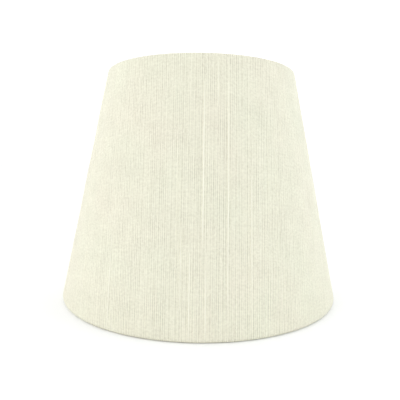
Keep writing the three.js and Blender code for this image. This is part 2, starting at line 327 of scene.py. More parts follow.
cloth, tree = new_finish("slubbed_faux_silk")
flat_place = add(tree, "ShaderNodeUVMap", uv_map="flat_mm")
across = add(tree, "ShaderNodeSeparateXYZ", flat_place).outputs[0]


def streak(tree, across_mm, along_mm, detail, seed):
    """Noise with one size across the yarn and another along it. The seed moves it to a place of its own."""
    size = (1 / across_mm, 1 / along_mm, 0)
    squeezed = add(tree, "ShaderNodeVectorMath", flat_place, size, operation="MULTIPLY")
    moved = add(tree, "ShaderNodeVectorMath", squeezed, (seed, seed / 2, 0), operation="ADD")
    return add(
        tree,
        "ShaderNodeTexNoise",
        {"Vector": moved, "Scale": 1.0, "Detail": detail, "Roughness": 0.6},
        noise_dimensions="2D",
    )


yarns = streak(tree, 0.9, 110, 1, 3)
fine_yarns = streak(tree, 0.55, 45, 1, 17)
warp = streak(tree, 1.8, 1.3, 2, 29)
bands = streak(tree, 22, 6, 1, 41)
patches = streak(tree, 9, 16, 1, 53)
shading = streak(tree, 45, 90, 1, 67)
thin_slubs = streak(tree, 1.2, 150, 0, 83)
drift = add(tree, "ShaderNodeMath", streak(tree, 12, 200, 0, 97), 2.5, operation="MULTIPLY")
lines = add(
    tree, "ShaderNodeMath", across, 2 * math.pi / LINE_SPACING, drift, operation="MULTIPLY_ADD"
)
lines = add(tree, "ShaderNodeMath", lines, operation="SINE")
jitter = add(tree, "ShaderNodeMath", streak(tree, 2.6, 140, 0, 121), 4.5, operation="MULTIPLY")
paired = add(
    tree, "ShaderNodeMath", across, 2 * math.pi / PAIR_SPACING, jitter, operation="MULTIPLY_ADD"
)
paired = add(tree, "ShaderNodeMath", paired, operation="SINE")
line_strength = add(
    tree,
    "ShaderNodeMapRange",
    {"Value": patches, "From Min": 0.35, "From Max": 0.65, "To Min": 0.3, "To Max": 1.0},
)
lines = add(tree, "ShaderNodeMath", lines, line_strength, operation="MULTIPLY")
slub_lines = add(tree, "ShaderNodeMapRange", {"Value": thin_slubs, "From Min": 0.66, "From Max": 0.8})

# The weave's relief, and from it and two broader unevennesses the cloth's lightness.
height = 0.0
for thread, middle, strength in (
    (yarns, 0.5, 0.3),
    (fine_yarns, 0.5, 1.2),
    (lines, 0.0, 1.6),
    (paired, 0.0, 0.6),
    (warp, 0.5, 4.2),
    (slub_lines, 0.0, 0.3),
):
    centred = add(tree, "ShaderNodeMath", thread, middle, operation="SUBTRACT")
    height = add(tree, "ShaderNodeMath", centred, strength, height, operation="MULTIPLY_ADD")
tone = height
for unevenness, strength in ((bands, 0.9), (shading, 0.2)):
    centred = add(tree, "ShaderNodeMath", unevenness, 0.5, operation="SUBTRACT")
    tone = add(tree, "ShaderNodeMath", centred, strength, tone, operation="MULTIPLY_ADD")
tone = add(tree, "ShaderNodeMapRange", {"Value": tone, "From Min": -2.8, "From Max": 2.8})
thread_colour = add(
    tree, "ShaderNodeMix", {0: tone, 6: linear("d8d6c4"), 7: linear("fffeed")}, data_type="RGBA"
)
tint = add(
    tree,
    "ShaderNodeMix",
    {0: streak(tree, 30, 40, 1, 109), 6: linear("fff9f4"), 7: linear("fafff6")},
    data_type="RGBA",
)
hue = add(
    tree,
    "ShaderNodeMix",
    {0: 0.5, 6: thread_colour.outputs[2], 7: tint.outputs[2]},
    data_type="RGBA",
    blend_type="MULTIPLY",
)
relief = add(tree, "ShaderNodeBump", {"Strength": 0.5, "Distance": 0.12 * MM, "Height": height})
lustre = add(tree, "ShaderNodeMapRange", {"Value": fine_yarns, "To Min": 0.72, "To Max": 0.56})
surface = add(
    tree,
    "ShaderNodeBsdfPrincipled",
    {
        "Base Color": hue.outputs[2],
        "Roughness": lustre,
        "Specular IOR Level": 0.25,
        "Sheen Weight": 0.12,
        "Sheen Roughness": 0.4,
        "Normal": relief,
    },
)
add(tree, "ShaderNodeOutputMaterial", surface)

cover = piece("cloth_cover", vertices, faces, cloth)
layer = cover.data.uv_layers.new(name="flat_mm")
corner_vertex = np.zeros(len(cover.data.loops), np.int32)
cover.data.loops.foreach_get("vertex_index", corner_vertex)
layer.data.foreach_set("uv", np.array(flat, np.float32)[corner_vertex].ravel())
thicken = cover.modifiers.new("cloth_thickness", "SOLIDIFY")
thicken.thickness = CLOTH
thicken.offset = 0
thicken.use_even_offset = True
bake_modifiers(cover)
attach(cover, "shade")
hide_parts("cover_fabric")

# ---- The slubs ----
# Thick places in the spun yarn. Each lies proud of the cloth as a pale thread, from a few centimetres
# long to the height of the shade, straight up the flat cut, and goes over the rolls with the cloth.

SLUB_PAST_RING = 2.8 * MM
SLUB_SPREAD = CUT_BASE * math.sin(CUT_HALF_ANGLE)
SLUB_STEPS = 36
SLUB_WAVER = 0.3 * MM
# The seven that catch the eye at the front: how far across the cut from the middle of the front in mm,
# where each starts and ends as shares of the shade's height, and its half width in mm. The rest of the
# yarn's thick places fall by chance, and one in eight of them is bold.
bold_slubs = [
    (2, 0.3, 0.9, 0.35),
    (16, 0.1, 1.0, 0.3),
    (30, 0.0, 0.6, 0.3),
    (4, 0.0, 0.3, 0.3),
    (-5, 0.0, 0.3, 0.3),
    (-10, 0.1, 0.4, 0.25),
    (10, 0.8, 1.0, 0.25),
]
CHANCE_SLUBS = 110
SLUB_SEED = 5
chance = random.Random(SLUB_SEED)
slubs = list(bold_slubs)
for _ in range(CHANCE_SLUBS):
    u = chance.uniform(-1, 1) * SLUB_SPREAD / MM
    span = chance.uniform(0.15, 1.0)
    start = chance.uniform(-0.1, 1.1 - span)
    bold = chance.random() < 1 / 8
    half = chance.uniform(0.2, 0.32) if bold else chance.uniform(0.08, 0.14)
    slubs.append((u, max(0, start), min(1, start + span), half))

# Spun yarn, thick and barely twisted: paler than the cloth and a little fuzzy, with a soft sheen along
# its sides and its fibres, 0.4 mm apart, just showing. Real fibres are finer and are drawn coarse.
slub_yarn, tree = new_finish("spun_slub_yarn")
place = add(tree, "ShaderNodeTexCoord").outputs["Object"]
fibres = add(tree, "ShaderNodeTexNoise", {"Vector": place, "Scale": 2500.0, "Detail": 2.0})
relief = add(tree, "ShaderNodeBump", {"Strength": 0.3, "Distance": 0.05 * MM, "Height": fibres})
colour = add(
    tree, "ShaderNodeMix", {0: fibres, 6: linear("fbf9e6"), 7: linear("fffef0")}, data_type="RGBA"
)
surface = add(
    tree,
    "ShaderNodeBsdfPrincipled",
    {
        "Base Color": colour.outputs[2],
        "Roughness": 0.6,
        "Specular IOR Level": 0.3,
        "Sheen Weight": 0.3,
        "Sheen Roughness": 0.35,
        "Normal": relief,
    },
)
add(tree, "ShaderNodeOutputMaterial", surface)


def new_tree(name, sizes):
    """A geometry tree with a named input for each size, and its input node."""
    tree = bpy.data.node_groups.new(name, "GeometryNodeTree")
    tree.interface.new_socket("Geometry", in_out="INPUT", socket_type="NodeSocketGeometry")
    for size, kind in sizes.items():
        tree.interface.new_socket(size, in_out="INPUT", socket_type=kind)
    tree.interface.new_socket("Geometry", in_out="OUTPUT", socket_type="NodeSocketGeometry")
    return tree, tree.nodes.new("NodeGroupInput")


def grow(made, tree, values):
    """Runs a tree on a piece with these inputs, and leaves the result as its mesh."""
    modifier = made.modifiers.new(tree.name, "NODES")
    modifier.node_group = tree
    for item in tree.interface.items_tree:
        if item.in_out == "INPUT" and item.name in values:
            modifier[item.identifier] = values[item.name]
    return bake_modifiers(made)


sizes = ["Cut base", "Cut top", "Half turn", "Slope", "Ring radius", "Ring height", "Roll", "Past ring"]
sizes = dict.fromkeys([*sizes, "Reach", "Waver"], "NodeSocketFloat")
sizes |= {"Steps": "NodeSocketInt", "Yarn": "NodeSocketMaterial"}
tree, given = new_tree("slubs_up_the_cone", sizes)
cut_base, cut_top, slope, roll, past_ring = (
    given.outputs[n] for n in ("Cut base", "Cut top", "Slope", "Roll", "Past ring")
)
across, start, end, half = (
    add(tree, "GeometryNodeInputNamedAttribute", {"Name": name}, data_type="FLOAT")
    for name in ("across", "start", "end", "half_width")
)
line = add(tree, "GeometryNodeCurvePrimitiveLine")
line = add(tree, "GeometryNodeResampleCurve", {"Curve": line, "Count": given.outputs["Steps"]})
laid = add(
    tree, "GeometryNodeInstanceOnPoints", {"Points": given.outputs["Geometry"], "Instance": line}
)
laid = add(tree, "GeometryNodeRealizeInstances", {"Geometry": laid})
share = add(tree, "GeometryNodeSplineParameter").outputs["Factor"]
rise = add(tree, "ShaderNodeMath", end, start, operation="SUBTRACT")
rise = add(tree, "ShaderNodeMath", rise, share, start, operation="MULTIPLY_ADD")
# Where a straight line up the flat cut meets the cut's base arc, its top arc and its straight sides.
across_squared = add(tree, "ShaderNodeMath", across, across, operation="MULTIPLY")
low = add(tree, "ShaderNodeMath", cut_base, past_ring, operation="ADD")
low = add(tree, "ShaderNodeMath", low, low, operation="MULTIPLY")
low = add(tree, "ShaderNodeMath", low, across_squared, operation="SUBTRACT")
low = add(tree, "ShaderNodeMath", low, operation="SQRT")
high = add(tree, "ShaderNodeMath", cut_top, past_ring, operation="SUBTRACT")
high = add(tree, "ShaderNodeMath", high, high, operation="MULTIPLY")
high = add(tree, "ShaderNodeMath", high, across_squared, operation="SUBTRACT")
high = add(tree, "ShaderNodeMath", high, 0.0, operation="MAXIMUM")
high = add(tree, "ShaderNodeMath", high, operation="SQRT")
side = add(tree, "ShaderNodeMath", across, operation="ABSOLUTE")
side_slope = add(tree, "ShaderNodeMath", given.outputs["Half turn"], operation="TANGENT")
side = add(tree, "ShaderNodeMath", side, side_slope, operation="DIVIDE")
high = add(tree, "ShaderNodeMath", high, side, operation="MAXIMUM")
up = add(tree, "ShaderNodeMath", high, low, operation="SUBTRACT")
up = add(tree, "ShaderNodeMath", up, rise, low, operation="MULTIPLY_ADD")
# The yarn wavers a little to either side.
sideways = add(tree, "ShaderNodeMath", across, 1000.0, operation="MULTIPLY")
sideways = add(tree, "ShaderNodeCombineXYZ", sideways, rise)
sideways = add(
    tree, "ShaderNodeTexNoise", {"Vector": sideways, "Scale": 3.0}, noise_dimensions="2D"
)
sideways = add(tree, "ShaderNodeMath", sideways, 0.5, operation="SUBTRACT")
sideways = add(
    tree, "ShaderNodeMath", sideways, given.outputs["Waver"], across, operation="MULTIPLY_ADD"
)
# From the flat cut to the cone: an angle about the cut's centre becomes one about the shade's axis.
cut = add(tree, "ShaderNodeMath", sideways, sideways, operation="MULTIPLY")
cut = add(tree, "ShaderNodeMath", up, up, cut, operation="MULTIPLY_ADD")
cut = add(tree, "ShaderNodeMath", cut, operation="SQRT")
azimuth = add(tree, "ShaderNodeMath", sideways, up, operation="ARCTAN2")
azimuth = add(tree, "ShaderNodeMath", azimuth, slope, operation="DIVIDE")
along = add(tree, "ShaderNodeMath", cut_base, cut, operation="SUBTRACT")
wall_length = add(tree, "ShaderNodeMath", cut_base, cut_top, operation="SUBTRACT")
on_wall = add(tree, "ShaderNodeMath", along, 0.0, operation="MAXIMUM")
on_wall = add(tree, "ShaderNodeMath", on_wall, wall_length, operation="MINIMUM")
# Past either ring the yarn turns about the wire.
turn = add(tree, "ShaderNodeMath", along, on_wall, operation="SUBTRACT")
turn = add(tree, "ShaderNodeMath", turn, roll, operation="DIVIDE")
wall_angle = add(tree, "ShaderNodeMath", slope, operation="ARCSINE")
turn = add(tree, "ShaderNodeMath", turn, wall_angle, operation="ADD")
steep = add(tree, "ShaderNodeMath", slope, slope, operation="MULTIPLY")
steep = add(tree, "ShaderNodeMath", 1.0, steep, operation="SUBTRACT")
steep = add(tree, "ShaderNodeMath", steep, operation="SQRT")
ring_r = add(tree, "ShaderNodeMath", slope, on_wall, operation="MULTIPLY")
ring_r = add(tree, "ShaderNodeMath", given.outputs["Ring radius"], ring_r, operation="SUBTRACT")
ring_z = given.outputs["Ring height"]
ring_z = add(tree, "ShaderNodeMath", steep, on_wall, ring_z, operation="MULTIPLY_ADD")
reach = given.outputs["Reach"]
radius = add(tree, "ShaderNodeMath", turn, operation="COSINE")
radius = add(tree, "ShaderNodeMath", radius, reach, ring_r, operation="MULTIPLY_ADD")
height = add(tree, "ShaderNodeMath", turn, operation="SINE")
height = add(tree, "ShaderNodeMath", height, reach, ring_z, operation="MULTIPLY_ADD")
to_right = add(tree, "ShaderNodeMath", azimuth, operation="SINE")
to_right = add(tree, "ShaderNodeMath", radius, to_right, operation="MULTIPLY")
to_back = add(tree, "ShaderNodeMath", azimuth, operation="COSINE")
to_back = add(tree, "ShaderNodeMath", to_back, -1.0, operation="MULTIPLY")
to_back = add(tree, "ShaderNodeMath", radius, to_back, operation="MULTIPLY")
position = add(tree, "ShaderNodeCombineXYZ", to_right, to_back, height)
bent = add(tree, "GeometryNodeSetPosition", {"Geometry": laid, "Position": position})
# A slub swells and thins along its length and tapers out at both ends.
taper = add(tree, "ShaderNodeMath", share, math.pi, operation="MULTIPLY")
taper = add(tree, "ShaderNodeMath", taper, operation="SINE")
taper = add(tree, "ShaderNodeMath", taper, 0.0, operation="MAXIMUM")
taper = add(tree, "ShaderNodeMath", taper, 0.35, operation="POWER")
lumps = add(tree, "ShaderNodeMath", across, 700.0, operation="MULTIPLY")
lumps = add(tree, "ShaderNodeCombineXYZ", lumps, rise)
lumps = add(tree, "ShaderNodeTexNoise", {"Vector": lumps, "Scale": 9.0}, noise_dimensions="2D")
lumps = add(tree, "ShaderNodeMath", lumps, 0.5, operation="ADD")
width = add(tree, "ShaderNodeMath", half, taper, operation="MULTIPLY")
width = add(tree, "ShaderNodeMath", width, lumps, operation="MULTIPLY")
section = add(tree, "GeometryNodeCurvePrimitiveCircle", {"Resolution": 6, "Radius": 1.0})
tube = add(
    tree,
    "GeometryNodeCurveToMesh",
    {"Curve": bent, "Profile Curve": section, "Scale": width, "Fill Caps": True},
)
tube = add(tree, "GeometryNodeSetShadeSmooth", {"Geometry": tube})
tube = add(tree, "GeometryNodeRealizeInstances", {"Geometry": tube})
tube = add(tree, "GeometryNodeSetMaterial", {"Geometry": tube, "Material": given.outputs["Yarn"]})
add(tree, "NodeGroupOutput", tube)

slub_threads = piece("slub_threads", [(0, 0, 0)] * len(slubs), [], slub_yarn)
for name, values in (
    ("across", [s[0] * MM for s in slubs]),
    ("start", [s[1] for s in slubs]),
    ("end", [s[2] for s in slubs]),
    ("half_width", [s[3] * MM for s in slubs]),
):
    slub_threads.data.attributes.new(name, "FLOAT", "POINT").data.foreach_set("value", values)
grow(
    slub_threads,
    tree,
    {
        "Cut base": CUT_BASE,
        "Cut top": CUT_TOP,
        "Half turn": CUT_HALF_ANGLE,
        "Slope": -UP_WALL.x,
        "Ring radius": BASE_RING.x,
        "Ring height": BASE_RING.y,
        "Roll": ROLL,
        "Past ring": SLUB_PAST_RING,
        "Reach": ROLL + CLOTH / 2,
        "Waver": SLUB_WAVER,
        "Steps": SLUB_STEPS,
        "Yarn": slub_yarn,
    },
)
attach(slub_threads, "shade")

# ---- The backing ----
# A sheet of white self-adhesive PVC, 0.4 mm thick, that the cloth is laminated to. It is cut to the
# same segment of a ring, rolled up and butted at the back, and its edges stop at the wires.

PVC = 0.4 * MM
PVC_MIDDLE = 1.22 * MM
PVC_CLEAR = 1.8 * MM
PVC_BUTT = 0.3 * MM


def wall_patch(name, around, along_from, along_to, middle, thickness, material, rows=12):
    """A piece of sheet on the wall. around gives its columns, as (azimuth, distance round, lift)."""
    points, polygons = [], []
    for azimuth, extra, lift in around:
        for j in range(rows + 1):
            along = along_from + (along_to - along_from) * j / rows
            at = BASE_RING + UP_WALL * along + OUT_OF_WALL * (middle + lift)
            points.append(ring_point(at.x, at.y, azimuth + extra / at.x))
    for i in range(len(around) - 1):
        for j in range(rows):
            a, b = i * (rows + 1) + j, (i + 1) * (rows + 1) + j
            polygons.append((a, b, b + 1, a + 1))
    made = piece(name, points, polygons, material)
    thicken = made.modifiers.new("thickness", "SOLIDIFY")
    thicken.thickness = thickness
    thicken.offset = 0
    return bake_modifiers(made)


def mottled(tree, scale, detail, colours, glosses):
    """Cloudy unevenness over a piece: its place, the clouds, and the colour and the roughness that they
    give between two of each."""
    place = add(tree, "ShaderNodeTexCoord").outputs["Object"]
    clouds = add(tree, "ShaderNodeTexNoise", {"Vector": place, "Scale": scale, "Detail": detail})
    first, second = (linear(colour) for colour in colours)
    colour = add(tree, "ShaderNodeMix", {0: clouds, 6: first, 7: second}, data_type="RGBA")
    gloss = add(
        tree, "ShaderNodeMapRange", {"Value": clouds, "To Min": glosses[0], "To Max": glosses[1]}
    )
    return place, clouds, colour.outputs[2], gloss


# Calendered PVC: white and satin, with a fine roller grain and the weave of the cloth just pressing
# through from behind. Its gloss varies a little where the glue has pulled it.
pvc, tree = new_finish("calendered_white_pvc")
place, _, colour, gloss = mottled(tree, 35.0, 2.0, ("f5f4ee", "fbfaf7"), (0.5, 0.38))
grain = add(tree, "ShaderNodeTexNoise", {"Vector": place, "Scale": 1400.0, "Detail": 3.0})
upright = add(tree, "ShaderNodeVectorMath", place, (1.0, 1.0, 0.02), operation="MULTIPLY")
show_through = add(tree, "ShaderNodeTexNoise", {"Vector": upright, "Scale": 700.0})
height = add(tree, "ShaderNodeMath", grain, 0.6, show_through, operation="MULTIPLY_ADD")
relief = add(tree, "ShaderNodeBump", {"Strength": 0.5, "Distance": 0.05 * MM, "Height": height})
surface = add(
    tree,
    "ShaderNodeBsdfPrincipled",
    {"Base Color": colour, "Roughness": gloss, "IOR": 1.53, "Normal": relief},
)
add(tree, "ShaderNodeOutputMaterial", surface)

steps = [(-math.pi + 2 * math.pi * i / 360, 0.0, 0.0) for i in range(361)]
steps[0] = (-math.pi, PVC_BUTT / 2, 0.0)
steps[-1] = (math.pi, -PVC_BUTT / 2, 0.0)
backing = wall_patch("backing_sheet", steps, PVC_CLEAR, WALL - PVC_CLEAR, PVC_MIDDLE, PVC, pvc)
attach(backing, "shade")
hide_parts("backing_panel")

# ---- The joint tape ----
# A strip of clear film tape down the inside of the butt joint, from hem to hem. It has yellowed a
# little, and small bubbles of air lie under it.

TAPE_WIDTH = 12 * MM
TAPE = 0.08 * MM
TAPE_ENDS = 12.2 * MM
TAPE_MIDDLE = PVC_MIDDLE - PVC / 2 - TAPE / 2 - 0.01 * MM

# Film tape: glossy, a little yellow and crinkled, with pale bubbles of air standing up under it every
# 2 mm or so.
tape_film, tree = new_finish("adhesive_film_tape")
place = add(tree, "ShaderNodeTexCoord").outputs["Object"]
bubbles = add(tree, "ShaderNodeTexVoronoi", {"Vector": place, "Scale": 420.0})
stuck = add(tree, "ShaderNodeMapRange", {"Value": bubbles, "From Min": 0.12, "From Max": 0.3})
crinkle = add(tree, "ShaderNodeTexNoise", {"Vector": place, "Scale": 120.0})
height = add(tree, "ShaderNodeMath", stuck, -0.5, crinkle, operation="MULTIPLY_ADD")
relief = add(tree, "ShaderNodeBump", {"Strength": 0.4, "Distance": 0.06 * MM, "Height": height})
colour = add(
    tree, "ShaderNodeMix", {0: stuck, 6: linear("f1eee0"), 7: linear("ece8d6")}, data_type="RGBA"
)
surface = add(
    tree,
    "ShaderNodeBsdfPrincipled",
    {"Base Color": colour.outputs[2], "Roughness": 0.22, "IOR": 1.5, "Normal": relief},
)
add(tree, "ShaderNodeOutputMaterial", surface)

across_tape = [(math.pi, TAPE_WIDTH * (i / 10 - 0.5), 0.0) for i in range(11)]
tape = wall_patch(
    "joint_tape", across_tape, TAPE_ENDS, WALL - TAPE_ENDS, TAPE_MIDDLE, TAPE, tape_film, rows=40
)
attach(tape, "shade")
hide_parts("seam_tape")

# ---- The hem's frayed edge ----
# The cloth is cut with shears and only turned in once, so short ends of yarn stand out of its raw edge
# all the way round, inside the shade at the base and at the top.

FRAY_SPACING = 1.6 * MM
FRAY_LENGTH = 1.1 * MM
FRAY_RADIUS = 0.045 * MM
# The last columns lie in the lap, which hides the raw edge.
LAPPED_COLUMNS = 14

sizes = dict.fromkeys(["Spacing", "Length", "Radius"], "NodeSocketFloat")
tree, given = new_tree("yarn_ends_along_an_edge", {**sizes, "Yarn": "NodeSocketMaterial"})
edge = add(tree, "GeometryNodeMeshToCurve", {"Mesh": given.outputs["Geometry"]})
spacing, length = given.outputs["Spacing"], given.outputs["Length"]
spots = add(tree, "GeometryNodeCurveToPoints", {"Curve": edge, "Length": spacing}, mode="LENGTH")
fibre = add(tree, "GeometryNodeCurvePrimitiveLine")
fibre = add(tree, "GeometryNodeResampleCurve", {"Curve": fibre, "Count": 5})
bow = add(tree, "GeometryNodeSplineParameter").outputs["Factor"]
bow = add(tree, "ShaderNodeMath", bow, bow, operation="MULTIPLY")
bow = add(tree, "ShaderNodeMath", bow, 0.35, operation="MULTIPLY")
half_bow = add(tree, "ShaderNodeMath", bow, 0.5, operation="MULTIPLY")
bow = add(tree, "ShaderNodeCombineXYZ", bow, half_bow)
fibre = add(tree, "GeometryNodeSetPosition", {"Geometry": fibre, "Offset": bow})
turned = add(
    tree,
    "FunctionNodeRandomValue",
    {0: (-0.5, -0.5, 0), 1: (0.5, 0.5, 6.28), "Seed": 5},
    data_type="FLOAT_VECTOR",
)
long = add(tree, "FunctionNodeRandomValue", {2: 0.35, 3: 1.0, "Seed": 8}, data_type="FLOAT")
long = add(tree, "ShaderNodeMath", long.outputs[1], length, operation="MULTIPLY")
upside = add(tree, "GeometryNodeInputNamedAttribute", {"Name": "points_up"}, data_type="FLOAT")
long = add(tree, "ShaderNodeMath", long, upside, operation="MULTIPLY")
stretch = add(tree, "ShaderNodeCombineXYZ", length, length, long)
grown = add(
    tree,
    "GeometryNodeInstanceOnPoints",
    {"Points": spots, "Instance": fibre, "Rotation": turned, "Scale": stretch},
)
grown = add(tree, "GeometryNodeRealizeInstances", {"Geometry": grown})
section = add(tree, "GeometryNodeCurvePrimitiveCircle", {"Resolution": 3, "Radius": 1.0})
tube = add(
    tree,
    "GeometryNodeCurveToMesh",
    {"Curve": grown, "Profile Curve": section, "Scale": given.outputs["Radius"], "Fill Caps": True},
)
tube = add(tree, "GeometryNodeRealizeInstances", {"Geometry": tube})
tube = add(tree, "GeometryNodeSetMaterial", {"Geometry": tube, "Material": given.outputs["Yarn"]})
add(tree, "NodeGroupOutput", tube)

edge_points, edge_lines, edge_up = [], [], []
for row, points_up in ((0, 1.0), (rows - 1, -1.0)):
    first = len(edge_points)
    loop = [vertices[i * rows + row] for i in range(len(columns) - LAPPED_COLUMNS)]
    edge_points += loop
    edge_lines += [
        (first + i, first + i + 1)
        for i in range(len(loop) - 1)
        if points_up > 0 or max(abs(loop[i][1]), abs(loop[i + 1][1])) >= SNIP / 2
    ]
    edge_up += [points_up] * len(loop)
fray_mesh = bpy.data.meshes.new("frayed_edges")
fray_mesh.from_pydata(edge_points, edge_lines, [])
fray_mesh.attributes.new("points_up", "FLOAT", "POINT").data.foreach_set("value", edge_up)
frays = bpy.data.objects.new("frayed_edges", fray_mesh)
bpy.context.scene.collection.objects.link(frays)
grow(
    frays,
    tree,
    {"Spacing": FRAY_SPACING, "Length": FRAY_LENGTH, "Radius": FRAY_RADIUS, "Yarn": slub_yarn},
)
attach(frays, "shade")

# ---- The wires ----
# Two rings of 3 mm zinc-plated steel wire inside the rolls, each butt-welded with a small ground-down
# upset. The top one shows where the hem is notched round the pivot lugs.

WIRE = 1.5 * MM
UPSET = 0.06
UPSET_REACH = 2.5 * MM

# Zinc plate on drawn wire: grey and satin, clouded with a whiter bloom, with the die's fine lines along
# it. Real die lines are hair-fine and are drawn about 0.2 mm apart.
zinc_wire, tree = new_finish("zinc_plated_drawn_wire")
place, _, colour, gloss = mottled(tree, 300.0, 3.0, ("b9bcbe", "d4d6d6"), (0.28, 0.5))
drawn = add(tree, "ShaderNodeVectorMath", place, (0.15, 0.15, 1.0), operation="MULTIPLY")
die_lines = add(tree, "ShaderNodeTexNoise", {"Vector": drawn, "Scale": 5000.0, "Detail": 2.0})
relief = add(tree, "ShaderNodeBump", {"Strength": 0.2, "Distance": 0.02 * MM, "Height": die_lines})
surface = add(
    tree,
    "ShaderNodeBsdfPrincipled",
    {"Base Color": colour, "Metallic": 1.0, "Roughness": gloss, "Normal": relief},
)
add(tree, "ShaderNodeOutputMaterial", surface)

for name, centre, node, weld_at in (
    ("base_wire", BASE_RING, "bottom_ring", 2.2),
    ("top_wire", TOP_RING, "top_ring", -1.3),
):
    points, polygons = [], []
    around, sides = 180, 14
    for i in range(around):
        azimuth = 2 * math.pi * i / around
        off = math.remainder(azimuth - weld_at, 2 * math.pi) * centre.x
        thick = WIRE * (1 + UPSET * math.exp(-((off / UPSET_REACH) ** 2)) + 0.004 * wander(azimuth, 4))
        for j in range(sides):
            turn = 2 * math.pi * j / sides
            points.append(
                ring_point(centre.x + thick * math.cos(turn), centre.y + thick * math.sin(turn), azimuth)
            )
    for i in range(around):
        for j in range(sides):
            a, b = i * sides, (i + 1) % around * sides
            k = (j + 1) % sides
            polygons.append((a + j, b + j, b + k, a + k))
    wire = piece(name, points, polygons, zinc_wire)
    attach(wire, "shade")
    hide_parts(node)

# ---- The pivot lugs ----
# Angles of 1.2 mm steel strip, pierced and bent in a press. Each one's foot is welded to the top wire
# and its leg hangs inside the wall. They are powder-coated white with the gimbal.

STEEL = 1.2 * MM
PIVOT = frame["joints"][0]["pos_m"][2]
LUG_FACE = 61.4 * MM
LUG_WIDTH = 9 * MM
LUG_FOOT_END = 63.45 * MM
LUG_FOOT = 157.92 * MM
LUG_WELD = 0.55 * MM
PIVOT_HOLE = 1.7 * MM
BEND = 1.4 * MM
TUMBLED_EDGE = 0.2 * MM


def rounded(corners, radius, steps=6):
    """A line of points through these corners, with an arc at each of the inner ones."""
    line = [Vector(corners[0])]
    for before, corner, after in zip(corners, corners[1:], corners[2:]):
        back = (Vector(before) - Vector(corner)).normalized()
        on = (Vector(after) - Vector(corner)).normalized()
        half = back.angle(on) / 2
        centre = Vector(corner) + (back + on).normalized() * radius / math.sin(half)
        first = Vector(corner) + back * radius / math.tan(half) - centre
        last = Vector(corner) + on * radius / math.tan(half) - centre
        turn = math.atan2(first.x * last.y - first.y * last.x, first.dot(last))
        for i in range(steps + 1):
            line.append(centre + Matrix.Rotation(turn * i / steps, 2) @ first)
    return [*line, Vector(corners[-1])]


def along_line(line, distance):
    """The point at a distance along a line of points, and the direction square to it on its left."""
    for first, second in zip(line, line[1:]):
        length = (second - first).length
        if distance <= length or second is line[-1]:
            ahead = (second - first).normalized()
            return first + ahead * distance, Vector((-ahead.y, ahead.x))
        distance -= length


def line_length(line):
    return sum((b - a).length for a, b in zip(line, line[1:]))


def pressed(name, outline, hole, line, thickness, material, side, rib=None):
    """A flat blank of strip, outline by (along, across), pierced with one hole and bent down a line of
    (x, z) points. rib lifts it, as a function of the same two. side is 1 on the right, -1 on the left."""
    shape = bmesh.new()
    for loop in (outline, hole):
        ends = [shape.verts.new((*p, 0)) for p in loop]
        for i, vertex in enumerate(ends):
            shape.edges.new((vertex, ends[(i + 1) % len(ends)]))
    bmesh.ops.triangle_fill(shape, use_beauty=True, edges=shape.edges[:])
    low, high = min(p[0] for p in outline), max(p[0] for p in outline)
    cuts = [((low + (high - low) * i / 48, 0, 0), (1, 0, 0)) for i in range(1, 48)]
    cuts += [((0, i * 0.7 * MM, 0), (0, 1, 0)) for i in range(-4, 5)]
    for place_at, square in cuts:
        everything = shape.verts[:] + shape.edges[:] + shape.faces[:]
        bmesh.ops.bisect_plane(shape, geom=everything, plane_co=place_at, plane_no=square)
    bmesh.ops.remove_doubles(shape, verts=shape.verts[:], dist=0.01 * MM)
    raised = bmesh.ops.extrude_face_region(shape, geom=shape.faces[:], use_keep_orig=True)
    top = {v for v in raised["geom"] if isinstance(v, bmesh.types.BMVert)}
    for vertex in shape.verts:
        vertex.co.z = thickness / 2 if vertex in top else -thickness / 2
    for vertex in shape.verts:
        along, wide, deep = vertex.co
        lifted = deep + (rib(along, wide) if rib else 0)
        at, left = along_line(line, along)
        at = at + left * lifted
        vertex.co = (side * at.x, side * wide, at.y)
    bmesh.ops.recalc_face_normals(shape, faces=shape.faces[:])
    if shape.calc_volume(signed=True) < 0:
        bmesh.ops.reverse_faces(shape, faces=shape.faces[:])
    made = piece(name, [], [], material)
    shape.to_mesh(made.data)
    shape.free()
    made.data.polygons.foreach_set("use_smooth", [True] * len(made.data.polygons))
    rim = made.modifiers.new("tumbled_edge", "BEVEL")
    rim.width = TUMBLED_EDGE
    rim.segments = 2
    rim.limit_method = "ANGLE"
    rim.angle_limit = math.radians(50)
    rim.harden_normals = False
    bake_modifiers(made)
    made.data.set_sharp_from_angle(angle=math.radians(50))
    return made


def circle(centre, radius, count=28):
    return [
        (centre + radius * math.cos(2 * math.pi * i / count), radius * math.sin(2 * math.pi * i / count))
        for i in range(count)
    ]


def bead(points, polygons, line, radius, seed):
    """Adds a lumpy run of weld along a line of points."""
    first = len(points)
    ahead = (line[-1] - line[0]).normalized()
    square = ahead.orthogonal().normalized()
    other = ahead.cross(square)
    count, sides = 22, 10
    for i in range(count + 1):
        share = i / count
        ripple = 1 + 0.14 * math.sin(share * 24 + seed) + 0.06 * math.sin(share * 61 + seed)
        thick = radius * ripple * max(0.02, math.sin(math.pi * (0.04 + 0.92 * share))) ** 0.5
        for j in range(sides):
            turn = 2 * math.pi * j / sides
            out = square * thick * math.cos(turn) + other * thick * math.sin(turn)
            points.append(line[0].lerp(line[-1], share) + out)
    for i in range(count):
        for j in range(sides):
            a, b, k = first + i * sides, first + (i + 1) * sides, (j + 1) % sides
            polygons.append((a + j, a + k, b + k, b + j))
    polygons.append(tuple(first + j for j in reversed(range(sides))))
    polygons.append(tuple(first + count * sides + j for j in range(sides)))


